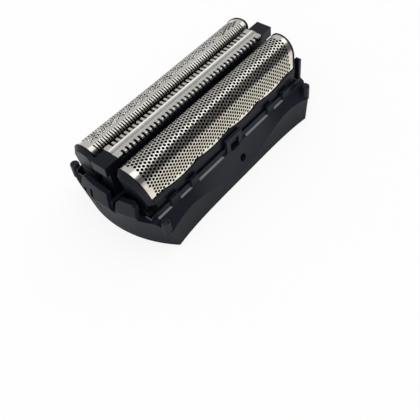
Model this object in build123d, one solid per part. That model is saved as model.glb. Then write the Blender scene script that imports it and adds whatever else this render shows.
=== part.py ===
from build123d import *
import os
from math import acos, atan, cos, degrees, pi, radians, sin, sqrt, tan

# Foil shaver head for a hair clipper, in millimetres: +Z up, X along the foils,
# origin under the middle of the base

# Trimmer comb, which sets the cutting width
TOOTH_COUNT = 36
TOOTH_PITCH = 1.05
TOOTH_LENGTH = 1.05
TOOTH_GAP = 0.46
GUARD_PLAIN_END = 1.6
GUARD_WIDTH = 3.86
GUARD_THICK = 0.35
GUARD_TOP_Z = 16.64
RIB_WIDTH = 0.55
RIB_HEIGHT = 0.2

# Trimmer blade, slider and carrier
BLADE_THICK = 0.31
BLADE_WIDTH = 3.6
BLADE_STROKE = 1.0
BLADE_GAP = 0.05
CARRIER_WIDTH = 3.5
CARRIER_WALL = 0.45
CARRIER_FLOOR = 0.9
CARRIER_TOP_GAP = 0.33
SHOULDER_LENGTH = 0.55
BLOCK_LENGTH = 3.2
BLOCK_WIDTH = 3.44
BLOCK_HEIGHT = 2.1
BLOCK_DROP = 0.12
STEM_WIDTH = 2.6
STEM_THICK = 1.6
STEM_INSET = 0.95
SLIDER_LENGTH = 16.0
SLIDER_CLEARANCE = 0.25
SLIDER_DEPTH = 4.0
FORK_WIDTH = 2.0
FORK_DEPTH = 2.5
DRIVE_SLOT_LENGTH = 4.8
DRIVE_SLOT_WIDTH = 1.8
BLADE_SPRING_SPAN = 4.0
BLADE_SPRING_RISE = 0.98
BLADE_SPRING_THICK = 0.15
BLADE_SPRING_WIDTH = 1.6
BLADE_SPRING_X = 5.0

# Foil section, given on its outer face for the foil on the +Y side
FOIL_TOP_Z = 16.75
FOIL_RADIUS = 3.9
FOIL_CENTRE_Y = 4.85
FOIL_BEND_RADIUS = 1.4
FOIL_INNER_Y = 3.05
FOIL_FLANK_ANGLE = 10.0
FOIL_BOTTOM_Z = 10.1
FOIL_THICK = 0.12
FOIL_END_X = 22.2
END_LEAN = 0.19
OPENING_COUNT = 12
OPENING_ROWS = 3
OPENING_LENGTH = 2.2
OPENING_WIDTH = 1.0
OPENING_PITCH = 3.3
OPENING_FIRST_ANGLE = 4.0
OPENING_ANGLE_STEP = 25.0

# Foil carrier: end caps and the rails that grip the long edges
CAP_THICK = 1.1
CAP_OVERHANG = 0.12
CAP_BEVEL = 0.8
CAP_BOTTOM_Z = 9.9
CAP_PLUG_LENGTH = 1.2
CAP_PLUG_CLEARANCE = 0.05
CAP_FOOT_WIDTH = 4.0
CAP_FOOT_THICK = 1.1
RAIL_THICK = 0.6
RAIL_BOTTOM_Z = 7.0
RAIL_LIP = 0.2
RAIL_SHELF_GAP = 0.05
RAIL_LIP_TOP_Z = 10.4
RAIL_INNER_LIP_HEIGHT = 0.9
RAIL_INNER_HEIGHT = 2.1
SCALLOP_PITCH = 9.0
SCALLOP_DEPTH = 0.6
SNAP_WIDTH = 1.8
SNAP_HEIGHT = 0.95
SNAP_DEPTH = 0.55

# How far the foil carriers and the trimmer sink
FOIL_TRAVEL = 1.2
TRIMMER_TRAVEL = 1.0

# Frame
BASE_CORNER_X = 20.3
BASE_HALF_Y = 13.1
WAIST_HALF_Y = 12.35
END_BOW = 3.9
BELT_Z = 5.6
BELT_HALF_Y = 12.7
BELT_DIP_Z = 1.6
BELT_DIP_HALF_X = 16.0
LEDGE_Z = 7.2
LEDGE_WIDTH = 0.4
FRAME_WALL = 1.2
END_WALL = 1.1
WALL_GAP = 0.15
UPPER_WALL = 0.4
UPPER_WALL_TOP_Z = 8.2
UPPER_WALL_LEAN = 0.12
END_CREASE_Z = 8.0
END_CREASE_CORNER_X = 21.7
TAB_TOP_Z = 10.4
TAB_CORNER_X = 20.7
TAB_INNER_Y = 3.3
TAB_OUTER_Y = 7.0
TAB_FLARE = 1.0
TAB_BEVEL = 0.6
PANEL_INNER_Y = 0.9
PANEL_OUTER_Y = 6.2
PANEL_SLANT = 0.45
END_SLOT_WIDTH = 0.75
END_SLOTS = ((1.0, 5.6, 9.3), (3.3, 5.9, 8.6))
END_SLOT_X = 23.4
POCKET_X = 22.5
SHELF_X = 19.9
SHELF_Z = 5.4
SHELF_THICK = 0.8
GUIDE_CLEARANCE = 0.2
GUIDE_THICK = 0.7
POST_X = 23.1
POST_Y = 8.85
POST_THICK = 0.7
POST_WIDTH = 1.2
POST_TOP_Z = 12.2
LUG_X = 21.5
LUG_Y = 11.9
LUG_SIZE = 1.7
LUG_BOTTOM_Z = 4.4
LUG_TOP_Z = 7.8
LUG_CHAMFER = 0.5
SMALL_CHAMFER = 0.2
LEDGE_RIBS = ((11.6, 2.0), (16.9, 2.3))
LEDGE_RIB_TOP_Z = 8.9
CENTRE_TAB_WIDTH = 4.6
CENTRE_TAB_TOP_Z = 10.0
WINDOW_WIDTH = 2.4
WINDOW_BOTTOM_Z = 6.8
WINDOW_GAP = 0.1
SIDE_HOLE_DIAMETER = 1.6
SIDE_HOLE_X = 0.9
SIDE_HOLE_Z = 3.9

# Springs under the caps and under the trimmer's stems
SPRING_THICK = 0.2
SPRING_WIDTH = 1.2
FOIL_SPRING_RADIUS = 2.2
TRIMMER_SPRING_RADIUS = 1.1
SPRING_GAP = 0.05
SPRING_FLATS = 6

# Sizes that follow from those above
FAR = 40.0
GUARD_LENGTH = TOOTH_COUNT * TOOTH_PITCH + 2 * GUARD_PLAIN_END
GUARD_UNDER_Z = GUARD_TOP_Z - GUARD_THICK
BLADE_TOP_Z = GUARD_UNDER_Z - BLADE_GAP
BLADE_UNDER_Z = BLADE_TOP_Z - BLADE_THICK
BLOCK_START_X = GUARD_LENGTH / 2 + BLADE_GAP
BLOCK_END_X = BLOCK_START_X + BLOCK_LENGTH
BLOCK_TOP_Z = GUARD_TOP_Z - BLOCK_DROP
STEM_X = BLOCK_END_X - STEM_INSET - STEM_THICK / 2
STEM_BOTTOM_Z = SHELF_Z + TRIMMER_SPRING_RADIUS + SPRING_GAP
SLIDER_BOTTOM_Z = BLADE_UNDER_Z - SLIDER_DEPTH
CARRIER_FLOOR_Z = SLIDER_BOTTOM_Z - BLADE_SPRING_RISE - SPRING_GAP
CARRIER_BOTTOM_Z = CARRIER_FLOOR_Z - CARRIER_FLOOR
CAP_FOOT_BOTTOM_Z = SHELF_Z + FOIL_SPRING_RADIUS + SPRING_GAP
GUIDE_TOP_Z = CARRIER_BOTTOM_Z - TRIMMER_TRAVEL - GUIDE_CLEARANCE
FLANK_SLOPE = tan(radians(FOIL_FLANK_ANGLE))
FOIL_SHOULDER_Y = FOIL_CENTRE_Y + FOIL_RADIUS * cos(radians(FOIL_FLANK_ANGLE))
FOIL_SHOULDER_Z = FOIL_TOP_Z - FOIL_RADIUS * (1 - sin(radians(FOIL_FLANK_ANGLE)))
FOIL_OUTER_Y = FOIL_SHOULDER_Y + (FOIL_SHOULDER_Z - FOIL_BOTTOM_Z) * FLANK_SLOPE
RAIL_OUTER_Y = FOIL_OUTER_Y + RAIL_SHELF_GAP + RAIL_LIP
FOOT_X = FOIL_END_X + CAP_THICK / 2 - END_LEAN * (FOIL_TOP_Z - CAP_BOTTOM_Z)
FOOT_Y = (FOIL_INNER_Y + RAIL_OUTER_Y) / 2
WALL_IN_Y = RAIL_OUTER_Y + WALL_GAP
WALL_OUT_Y = WALL_IN_Y + UPPER_WALL
LEDGE_HALF_Y = WALL_OUT_Y + LEDGE_WIDTH
WINDOW_TOP_Z = WINDOW_BOTTOM_Z + SNAP_HEIGHT + FOIL_TRAVEL + 2 * WINDOW_GAP
SNAP_TOP_Z = WINDOW_TOP_Z - WINDOW_GAP
BOW_RADIUS = (BASE_HALF_Y**2 + END_BOW**2) / (2 * END_BOW)


def block(x0, x1, y0, y1, z0, z1):
    """Box between two opposite corners."""
    return Pos((x0 + x1) / 2, (y0 + y1) / 2, (z0 + z1) / 2) * Box(x1 - x0, y1 - y0, z1 - z0)


def across(points, length):
    """Outline given as (y, z) points, drawn out along X to both sides of the middle."""
    return extrude(Plane.YZ * make_face(Polyline(*points, close=True)), length / 2, both=True)


def four_corners(solid):
    """Copies of a solid in all four quarters of the plan."""
    pair = [solid, mirror(solid, Plane.YZ)]
    return pair + [mirror(copy, Plane.XZ) for copy in pair]


# Frame

def bowed_plan(corner_x, z):
    """Plan of the head at one height: each end is an arc that bows outward."""
    reach_y = (BASE_HALF_Y + BOW_RADIUS) / 2
    tip_x = corner_x + END_BOW
    side_x = tip_x - BOW_RADIUS + sqrt(BOW_RADIUS**2 - reach_y**2)
    right = ThreePointArc((side_x, -reach_y), (tip_x, 0), (side_x, reach_y))
    left = ThreePointArc((-side_x, reach_y), (-tip_x, 0), (-side_x, -reach_y))
    outline = [right, Line(right @ 1, left @ 0), left, Line(left @ 1, right @ 0)]
    return Pos(0, 0, z) * make_face(outline)


def end_envelope(inset, bottom_z):
    """Solid between the two bowed ends: it widens up to the crease and leans in above it."""
    levels = [(BASE_CORNER_X, 0), (END_CREASE_CORNER_X, END_CREASE_Z), (TAB_CORNER_X, TAB_TOP_Z)]
    plans = [bowed_plan(corner_x - inset, z) for corner_x, z in levels]
    solid = loft(plans, ruled=True)
    if bottom_z < 0:
        solid += extrude(bowed_plan(BASE_CORNER_X - inset, bottom_z), -bottom_z)
    return solid


def side_section(x, inset, bottom_z):
    """Section across the head: skirt, belt line and the slope up to the ledge."""
    rise = (1 - cos(pi * min(abs(x) / BELT_DIP_HALF_X, 1))) / 2
    belt_z = BELT_DIP_Z + (BELT_Z - BELT_DIP_Z) * rise
    base_y = WAIST_HALF_Y + (BASE_HALF_Y - WAIST_HALF_Y) * (x / BASE_CORNER_X) ** 4
    belt_y = base_y - (BASE_HALF_Y - BELT_HALF_Y) * belt_z / BELT_Z
    half = [(base_y - inset, bottom_z), (belt_y - inset, belt_z - inset / 2),
            (LEDGE_HALF_Y - inset, LEDGE_Z - inset)]
    points = half + [(-y, z) for y, z in reversed(half)]
    return Plane.YZ.offset(x) * make_face(Polyline(*points, close=True))


def side_body(inset, bottom_z):
    """Body drawn through the sections, with the belt line dipping at mid length."""
    half = BELT_DIP_HALF_X
    stations = [-1.6 * half, -half, -half / 2, 0, half / 2, half, 1.6 * half]
    return loft([side_section(x, inset, bottom_z) for x in stations])


def upper_wall():
    """Thin wall along one long side, above the ledge, with its ribs and the window tab."""
    top_in = WALL_IN_Y
    top_out = WALL_OUT_Y - UPPER_WALL_LEAN
    root_z = LEDGE_Z - FRAME_WALL
    outline = [(WALL_IN_Y, root_z), (WALL_OUT_Y, root_z), (WALL_OUT_Y, LEDGE_Z), (top_out, UPPER_WALL_TOP_Z)]
    wall = across(outline + [(top_in, UPPER_WALL_TOP_Z)], 2 * POCKET_X)
    ledge_edge = LEDGE_HALF_Y - WALL_GAP / 2
    for x, width in LEDGE_RIBS:
        for side in (-1, 1):
            x0 = side * x - width / 2
            wall += block(x0, x0 + width, WALL_IN_Y, ledge_edge, root_z, LEDGE_RIB_TOP_Z)
    half_tab = CENTRE_TAB_WIDTH / 2
    wall += block(-half_tab, half_tab, WALL_IN_Y, ledge_edge, root_z, CENTRE_TAB_TOP_Z)
    return wall


def end_tabs():
    """Tab on one side and panel on the other that carry the end walls up in front of the caps."""
    shell = end_envelope(0, 0) - end_envelope(END_WALL, 0)
    root_z = LEDGE_Z - FRAME_WALL
    bevel_z = TAB_TOP_Z - TAB_BEVEL
    slant = PANEL_SLANT * (TAB_TOP_Z - root_z)
    tab = [(-TAB_OUTER_Y - TAB_FLARE, root_z), (-TAB_OUTER_Y, bevel_z), (-TAB_OUTER_Y + TAB_BEVEL, TAB_TOP_Z),
           (-TAB_INNER_Y - TAB_BEVEL, TAB_TOP_Z), (-TAB_INNER_Y, bevel_z), (-TAB_INNER_Y, root_z)]
    panel = [(-PANEL_INNER_Y - slant, root_z), (-PANEL_INNER_Y, TAB_TOP_Z),
             (PANEL_OUTER_Y - TAB_BEVEL, TAB_TOP_Z), (PANEL_OUTER_Y, bevel_z), (PANEL_OUTER_Y, root_z)]
    return shell & (across(tab, 2 * FAR) + across(panel, 2 * FAR))


def end_slots():
    """Slanted slots through the panel of the +X end wall."""
    slots = []
    for y, low_z, high_z in END_SLOTS:
        high_y = y + PANEL_SLANT * (high_z - low_z)
        points = [(y, low_z), (y + END_SLOT_WIDTH, low_z),
                  (high_y + END_SLOT_WIDTH, high_z), (high_y, high_z)]
        slots.append(across(points, 2 * FAR) & block(END_SLOT_X, FAR, -FAR, FAR, 0, FAR))
    return slots


def spring_shelf():
    """Inner shelf at the +X end, with the cheeks that guide the trimmer's stem."""
    guide_in = STEM_WIDTH / 2 + GUIDE_CLEARANCE
    wall_mid = extrude(side_section(0, FRAME_WALL / 2, 0), FAR)
    shelf = block(SHELF_X, FAR, -FAR, FAR, SHELF_Z - SHELF_THICK, SHELF_Z) & wall_mid
    for side in (-1, 1):
        low, high = sorted((side * guide_in, side * (guide_in + GUIDE_THICK)))
        shelf += block(STEM_X - STEM_THICK, FAR, low, high, SHELF_Z - SHELF_THICK / 2, GUIDE_TOP_Z)
    return shelf & end_envelope(END_WALL / 2, 0)


def make_frame():
    """Black moulded body that holds everything."""
    frame = side_body(0, -1) & end_envelope(0, 0)
    cavity = extrude(side_section(0, FRAME_WALL, -1), FAR, both=True)
    frame -= cavity & end_envelope(END_WALL, -1)
    frame -= block(-POCKET_X, POCKET_X, -WALL_IN_Y, WALL_IN_Y, SHELF_Z, FAR)
    well_x = STEM_X + STEM_THICK / 2 + GUIDE_CLEARANCE
    well_y = STEM_WIDTH / 2 + GUIDE_CLEARANCE
    frame -= block(-well_x, well_x, -well_y, well_y, SHELF_Z, FAR)
    wall = upper_wall()
    frame += [wall, mirror(wall, Plane.XZ), end_tabs()]
    shelf = spring_shelf()
    frame += [shelf, mirror(shelf, Plane.YZ)]
    post = block(POST_X - POST_THICK / 2, POST_X + POST_THICK / 2,
                 POST_Y - POST_WIDTH / 2, POST_Y + POST_WIDTH / 2,
                 LEDGE_Z - FRAME_WALL, POST_TOP_Z)
    post = chamfer(post.faces().sort_by(Axis.Z)[-1].edges(), SMALL_CHAMFER)
    frame += [post, mirror(post, Plane.XZ)]
    half_lug = LUG_SIZE / 2
    lug = block(LUG_X - half_lug, LUG_X + half_lug, LUG_Y - half_lug, LUG_Y + half_lug,
                LUG_BOTTOM_Z, LUG_TOP_Z)
    lug = chamfer(lug.edges().filter_by(Axis.Z), LUG_CHAMFER)
    frame += four_corners(chamfer(lug.faces().sort_by(Axis.Z)[-1].edges(), LUG_CHAMFER / 2))
    for slot in end_slots():
        frame -= [slot, mirror(slot, Plane.YZ)]
    half_window = WINDOW_WIDTH / 2
    frame -= block(-half_window, half_window, -FAR, FAR, WINDOW_BOTTOM_Z, WINDOW_TOP_Z)
    frame -= Pos(SIDE_HOLE_X, 0, SIDE_HOLE_Z) * Rot(90, 0, 0) * Cylinder(SIDE_HOLE_DIAMETER / 2, 2 * FAR)
    return frame


# Foil carriers, built on the +Y side

def foil_line(inset, bottom_z=FOIL_BOTTOM_Z):
    """Foil section on the +Y side as one line from the inner edge, over the crown, to the outer edge."""
    centre_z = FOIL_TOP_Z - FOIL_RADIUS
    radius = FOIL_RADIUS - inset
    bend = FOIL_BEND_RADIUS - inset
    inner_y = FOIL_INNER_Y + inset
    bend_y = FOIL_INNER_Y + FOIL_BEND_RADIUS
    reach = FOIL_RADIUS - FOIL_BEND_RADIUS
    bend_z = centre_z + sqrt(reach**2 - (bend_y - FOIL_CENTRE_Y) ** 2)
    to_bend = Vector(bend_y - FOIL_CENTRE_Y, bend_z - centre_z).normalized()
    join = Vector(FOIL_CENTRE_Y, centre_z) + to_bend * radius
    flank = radians(FOIL_FLANK_ANGLE)
    shoulder = Vector(FOIL_CENTRE_Y + radius * cos(flank), centre_z + radius * sin(flank))
    foot = Vector(shoulder.X + (shoulder.Y - bottom_z) * tan(flank), bottom_z)
    leg = Line((inner_y, bottom_z), (inner_y, bend_z))
    corner = RadiusArc((inner_y, bend_z), join, bend)
    crown = RadiusArc(join, shoulder, radius)
    return [leg, corner, crown, Line(shoulder, foot)]


def cap_plan(inset, bottom_z):
    """D-shaped face inside the foil section, closed below by a flat edge."""
    line = foil_line(inset, bottom_z)
    return Plane.YZ * make_face(line + [Line(line[-1] @ 1, line[0] @ 0)])


def lean_wedge(top_x):
    """Solid between the leaning planes at both ends, given by its half length at the foil's crown."""
    low_x = top_x - END_LEAN * FOIL_TOP_Z
    high_x = top_x + END_LEAN * FOIL_TOP_Z
    points = [(-low_x, 0), (low_x, 0), (high_x, 2 * FOIL_TOP_Z), (-high_x, 2 * FOIL_TOP_Z)]
    return extrude(Plane.XZ * make_face(Polyline(*points, close=True)), FAR, both=True)


def foil_openings():
    """Plain grid of cutting openings over the crown, square to the sheet."""
    axis = Pos(0, FOIL_CENTRE_Y, FOIL_TOP_Z - FOIL_RADIUS)
    cell = Box(OPENING_LENGTH, OPENING_WIDTH, FOIL_RADIUS / 2)
    cells = []
    for row in range(OPENING_ROWS):
        turn = Rot(-OPENING_FIRST_ANGLE - row * OPENING_ANGLE_STEP, 0, 0)
        for column in range(OPENING_COUNT):
            x = (column - (OPENING_COUNT - 1) / 2) * OPENING_PITCH
            cells.append(axis * turn * Pos(x, 0, FOIL_RADIUS) * cell)
    return cells


def make_foil():
    """Thin bent sheet over the cutter, open over the crown."""
    outer = foil_line(0)
    inner = foil_line(FOIL_THICK)
    edges = outer + [Line(outer[-1] @ 1, inner[-1] @ 1)] + inner + [Line(inner[0] @ 0, outer[0] @ 0)]
    sheet = extrude(Plane.YZ * make_face(edges), FAR, both=True)
    return (sheet & lean_wedge(FOIL_END_X)) - foil_openings()


def make_outer_rail():
    """Strip along the foil's outer edge, with a scalloped lip and a snap nose for the frame's window."""
    lip_top_z = RAIL_LIP_TOP_Z + SCALLOP_DEPTH
    shelf_z = FOIL_BOTTOM_Z - RAIL_SHELF_GAP
    lip_shift = (lip_top_z - shelf_z) * FLANK_SLOPE
    lip_in = RAIL_OUTER_Y - RAIL_LIP
    outline = [(RAIL_OUTER_Y - RAIL_THICK, RAIL_BOTTOM_Z), (RAIL_OUTER_Y, RAIL_BOTTOM_Z),
               (RAIL_OUTER_Y, shelf_z), (RAIL_OUTER_Y - lip_shift, lip_top_z),
               (lip_in - lip_shift, lip_top_z), (lip_in, shelf_z), (RAIL_OUTER_Y - RAIL_THICK, shelf_z)]
    rail = across(outline, 2 * FAR)
    scallop_radius = (SCALLOP_PITCH**2 / 4 + SCALLOP_DEPTH**2) / (2 * SCALLOP_DEPTH)
    count = 2 * int(FOIL_END_X / SCALLOP_PITCH + 0.5)
    for index in range(-count // 2, count // 2):
        x = (index + 0.5) * SCALLOP_PITCH
        scallop = Rot(90, 0, 0) * Cylinder(scallop_radius, 2 * FAR)
        rail -= Pos(x, 0, RAIL_LIP_TOP_Z + scallop_radius) * scallop
    half = SNAP_WIDTH / 2
    rail &= lean_wedge(FOIL_END_X)
    snap_y = RAIL_OUTER_Y + SNAP_DEPTH
    return rail + block(-half, half, RAIL_OUTER_Y - RAIL_THICK, snap_y, SNAP_TOP_Z - SNAP_HEIGHT, SNAP_TOP_Z)


def make_inner_rail():
    """Strip along the foil's inner edge, beside the trimmer."""
    lip_y = FOIL_INNER_Y - RAIL_SHELF_GAP
    shelf_z = FOIL_BOTTOM_Z - RAIL_SHELF_GAP
    low_z = shelf_z - RAIL_INNER_HEIGHT
    top_z = shelf_z + RAIL_INNER_LIP_HEIGHT
    outline = [(lip_y - RAIL_LIP, low_z), (lip_y + RAIL_THICK, low_z), (lip_y + RAIL_THICK, shelf_z),
               (lip_y, shelf_z), (lip_y, top_z), (lip_y - RAIL_LIP, top_z)]
    return across(outline, 2 * FAR) & lean_wedge(FOIL_END_X)


def make_cap():
    """D-shaped cap at the +X end: lip over the foil's edge, bevelled face, plug and a foot on the spring."""
    cap = extrude(cap_plan(-CAP_OVERHANG, CAP_BOTTOM_Z), CAP_THICK)
    front = cap.faces().sort_by(Axis.X)[-1]
    cap = chamfer(front.edges().sort_by(Axis.Z)[1:], CAP_BEVEL)
    cap = Pos(FOIL_END_X, 0, FOIL_TOP_Z) * Rot(0, degrees(atan(END_LEAN)), 0) * Pos(0, 0, -FOIL_TOP_Z) * cap
    leg, corner, crown, flank = foil_line(FOIL_THICK + CAP_PLUG_CLEARANCE)
    points = [leg @ 0, leg @ 1, corner @ 0.5, crown @ 0, crown @ 0.3, crown @ 0.65, flank @ 0, flank @ 1]
    plug = across([(point.X, point.Y) for point in points], 2 * FAR)
    plug &= block(0, FAR, -FAR, FAR, 0, FAR) & lean_wedge(FOIL_END_X + CAP_THICK / 4)
    plug -= lean_wedge(FOIL_END_X - CAP_PLUG_LENGTH)
    half_width = CAP_FOOT_WIDTH / 2
    half_thick = CAP_FOOT_THICK / 2
    foot = block(FOOT_X - half_thick, FOOT_X + half_thick, FOOT_Y - half_width, FOOT_Y + half_width,
                 CAP_FOOT_BOTTOM_Z, FOIL_BOTTOM_Z + CAP_THICK)
    return cap + [plug, foot]


# Trimmer

def tooth_gaps(width, tooth_x0):
    """Slots between the teeth on both long edges, with three flats at the root."""
    gaps = []
    for index in range(TOOTH_COUNT + 1):
        x = tooth_x0 + index * TOOTH_PITCH
        for side in (-1, 1):
            half_gap = TOOTH_GAP / 2
            tip_y = side * width
            root_y = side * (width / 2 - TOOTH_LENGTH)
            knee_y = root_y + side * half_gap / 2
            points = [(x - half_gap, tip_y), (x - half_gap, knee_y), (x - half_gap / 2, root_y),
                      (x + half_gap / 2, root_y), (x + half_gap, knee_y), (x + half_gap, tip_y)]
            gaps.append(make_face(Polyline(*points, close=True)))
    return Sketch() + gaps


def make_guard():
    """Steel comb over the blade, with a raised rib along its middle."""
    plan = Rectangle(GUARD_LENGTH, GUARD_WIDTH)
    plan -= tooth_gaps(GUARD_WIDTH, -TOOTH_COUNT * TOOTH_PITCH / 2)
    guard = Pos(0, 0, GUARD_UNDER_Z) * extrude(plan, GUARD_THICK)
    half = GUARD_LENGTH / 2
    rib = block(-half, half, -RIB_WIDTH / 2, RIB_WIDTH / 2,
                GUARD_TOP_Z - GUARD_THICK / 2, GUARD_TOP_Z + RIB_HEIGHT)
    return guard + rib


def make_blade():
    """Toothed plate that runs to and fro under the guard."""
    length = TOOTH_COUNT * TOOTH_PITCH
    plan = Rectangle(length, BLADE_WIDTH)
    plan -= tooth_gaps(BLADE_WIDTH, -length / 2)
    return Pos(0, 0, BLADE_UNDER_Z) * extrude(plan, BLADE_THICK)


def make_slider():
    """Moulded block under the blade, with a fork for the drive pin."""
    half_width = CARRIER_WIDTH / 2 - CARRIER_WALL - SLIDER_CLEARANCE
    half = SLIDER_LENGTH / 2
    slider = block(-half, half, -half_width, half_width, SLIDER_BOTTOM_Z, BLADE_UNDER_Z)
    fork = block(-FORK_WIDTH / 2, FORK_WIDTH / 2, -FAR, FAR, SLIDER_BOTTOM_Z, SLIDER_BOTTOM_Z + FORK_DEPTH)
    return slider - fork


def bow(span, rise, thick):
    """Strip bent into an arch of short flats, in its own plane: feet on the line, crown at the rise."""
    radius = (span**2 / 4 + rise**2) / (2 * rise)
    drop = radius - rise
    points = []
    for reach, order in ((radius, 1), (radius - thick, -1)):
        half_angle = acos(drop / reach)
        for step in range(SPRING_FLATS + 1):
            angle = order * half_angle * (2 * step / SPRING_FLATS - 1)
            points.append((reach * sin(angle), reach * cos(angle) - drop))
    return make_face(Polyline(*points, close=True))


def make_blade_springs():
    """Two arched strips that press the slider up."""
    floor_z = CARRIER_FLOOR_Z + SPRING_GAP
    strip = bow(BLADE_SPRING_SPAN, BLADE_SPRING_RISE, BLADE_SPRING_THICK)
    spring = extrude(Plane.XZ * strip, BLADE_SPRING_WIDTH / 2, both=True)
    return Compound(children=[Pos(side * BLADE_SPRING_X, 0, floor_z) * spring for side in (-1, 1)])


def make_carrier():
    """Channel that holds the slider, with a flat block and a stem at each end."""
    half_width = CARRIER_WIDTH / 2
    wall_top_z = BLADE_UNDER_Z - CARRIER_TOP_GAP
    channel_x = GUARD_LENGTH / 2 - SHOULDER_LENGTH
    carrier = block(-BLOCK_START_X, BLOCK_START_X, -half_width, half_width, CARRIER_BOTTOM_Z, wall_top_z)
    inner = half_width - CARRIER_WALL
    carrier -= block(-channel_x, channel_x, -inner, inner, CARRIER_FLOOR_Z, FAR)
    carrier -= block(-DRIVE_SLOT_LENGTH / 2, DRIVE_SLOT_LENGTH / 2,
                     -DRIVE_SLOT_WIDTH / 2, DRIVE_SLOT_WIDTH / 2, 0, CARRIER_FLOOR_Z)
    half_block = BLOCK_WIDTH / 2
    end = block(BLOCK_START_X, BLOCK_END_X, -half_block, half_block, BLOCK_TOP_Z - BLOCK_HEIGHT, BLOCK_TOP_Z)
    end += block(channel_x, BLOCK_START_X, -half_block, half_block, CARRIER_BOTTOM_Z, GUARD_UNDER_Z)
    end += block(STEM_X - STEM_THICK / 2, STEM_X + STEM_THICK / 2, -STEM_WIDTH / 2, STEM_WIDTH / 2,
                 STEM_BOTTOM_Z, BLOCK_TOP_Z - BLOCK_HEIGHT)
    return carrier + [end, mirror(end, Plane.YZ)]


# Springs

def arch_spring(radius, x, y):
    """Half ring of strip that stands on the shelf."""
    strip = bow(2 * radius, radius, SPRING_THICK)
    return Pos(x, y, SHELF_Z) * extrude(Plane.YZ * strip, SPRING_WIDTH / 2, both=True)


def save(node, solid):
    """Writes one node."""
    export_step(solid, os.path.join("parts", node + ".step"))


def main():
    """Builds every node and writes it."""
    os.makedirs("parts", exist_ok=True)
    save("frame", make_frame())
    foil = make_foil()
    outer_rail = make_outer_rail()
    inner_rail = make_inner_rail()
    cap = make_cap()
    spring = arch_spring(FOIL_SPRING_RADIUS, FOOT_X, FOOT_Y)
    pieces = {"foil_{}": foil, "rail_{}_outer": outer_rail, "rail_{}_inner": inner_rail,
              "cap_{}_far": cap, "cap_{}_near": mirror(cap, Plane.YZ),
              "foil_spring_{}_far": spring, "foil_spring_{}_near": mirror(spring, Plane.YZ)}
    for name, solid in pieces.items():
        save(name.format("left"), solid)
        save(name.format("right"), mirror(solid, Plane.XZ))
    save("trimmer_guard", make_guard())
    save("trimmer_blade", make_blade())
    save("trimmer_slider", make_slider())
    save("blade_springs", make_blade_springs())
    save("trimmer_carrier", make_carrier())
    stem_spring = arch_spring(TRIMMER_SPRING_RADIUS, STEM_X, 0)
    save("trimmer_spring_far", stem_spring)
    save("trimmer_spring_near", mirror(stem_spring, Plane.YZ))


main()
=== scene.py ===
"""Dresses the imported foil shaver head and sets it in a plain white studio."""

import logging
import math
from dataclasses import dataclass
from enum import Enum
from typing import Any, Optional, Sequence, Union

import bpy
from mathutils import Matrix, Vector
from mathutils.geometry import delaunay_2d_cdt


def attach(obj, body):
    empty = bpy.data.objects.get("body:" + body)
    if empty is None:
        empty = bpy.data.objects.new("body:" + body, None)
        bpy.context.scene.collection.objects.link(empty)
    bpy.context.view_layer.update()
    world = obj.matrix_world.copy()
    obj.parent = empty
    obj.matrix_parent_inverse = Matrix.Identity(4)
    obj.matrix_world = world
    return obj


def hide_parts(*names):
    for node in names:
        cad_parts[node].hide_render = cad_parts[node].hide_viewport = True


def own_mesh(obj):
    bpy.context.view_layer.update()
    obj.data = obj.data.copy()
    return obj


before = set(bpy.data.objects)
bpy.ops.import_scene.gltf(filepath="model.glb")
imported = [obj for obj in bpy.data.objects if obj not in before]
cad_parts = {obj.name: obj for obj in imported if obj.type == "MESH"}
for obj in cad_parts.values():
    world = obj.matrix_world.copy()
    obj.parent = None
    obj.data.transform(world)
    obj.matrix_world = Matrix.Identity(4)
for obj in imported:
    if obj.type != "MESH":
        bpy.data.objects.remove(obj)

LOG = logging.getLogger("shaver_head")
MM = 0.001
WHITE = (1.0, 1.0, 1.0, 1.0)
NOISE_MEAN = 0.5
Colour = tuple[float, float, float]
Point = tuple[float, float, float]
SheetPoint = tuple[float, float]
Pair = tuple[float, float]


def metres(sizes: Sequence[float]) -> list[float]:
    """Turns millimetres into metres."""
    return [size * MM for size in sizes]


class Side(Enum):
    """Which long side a foil sits on."""

    LEFT = 1
    RIGHT = -1

    @property
    def label(self) -> str:
        """The side's name in the CAD nodes."""
        return self.name.lower()


class Perforation(Enum):
    """How a foil is pierced."""

    HOLES = "round holes all over"
    SLITS_AND_HOLES = "slits over the inner bend and round holes beyond them"


class End(Enum):
    """Which end of the head a piece sits at."""

    NEAR = "near"
    FAR = "far"


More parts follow.
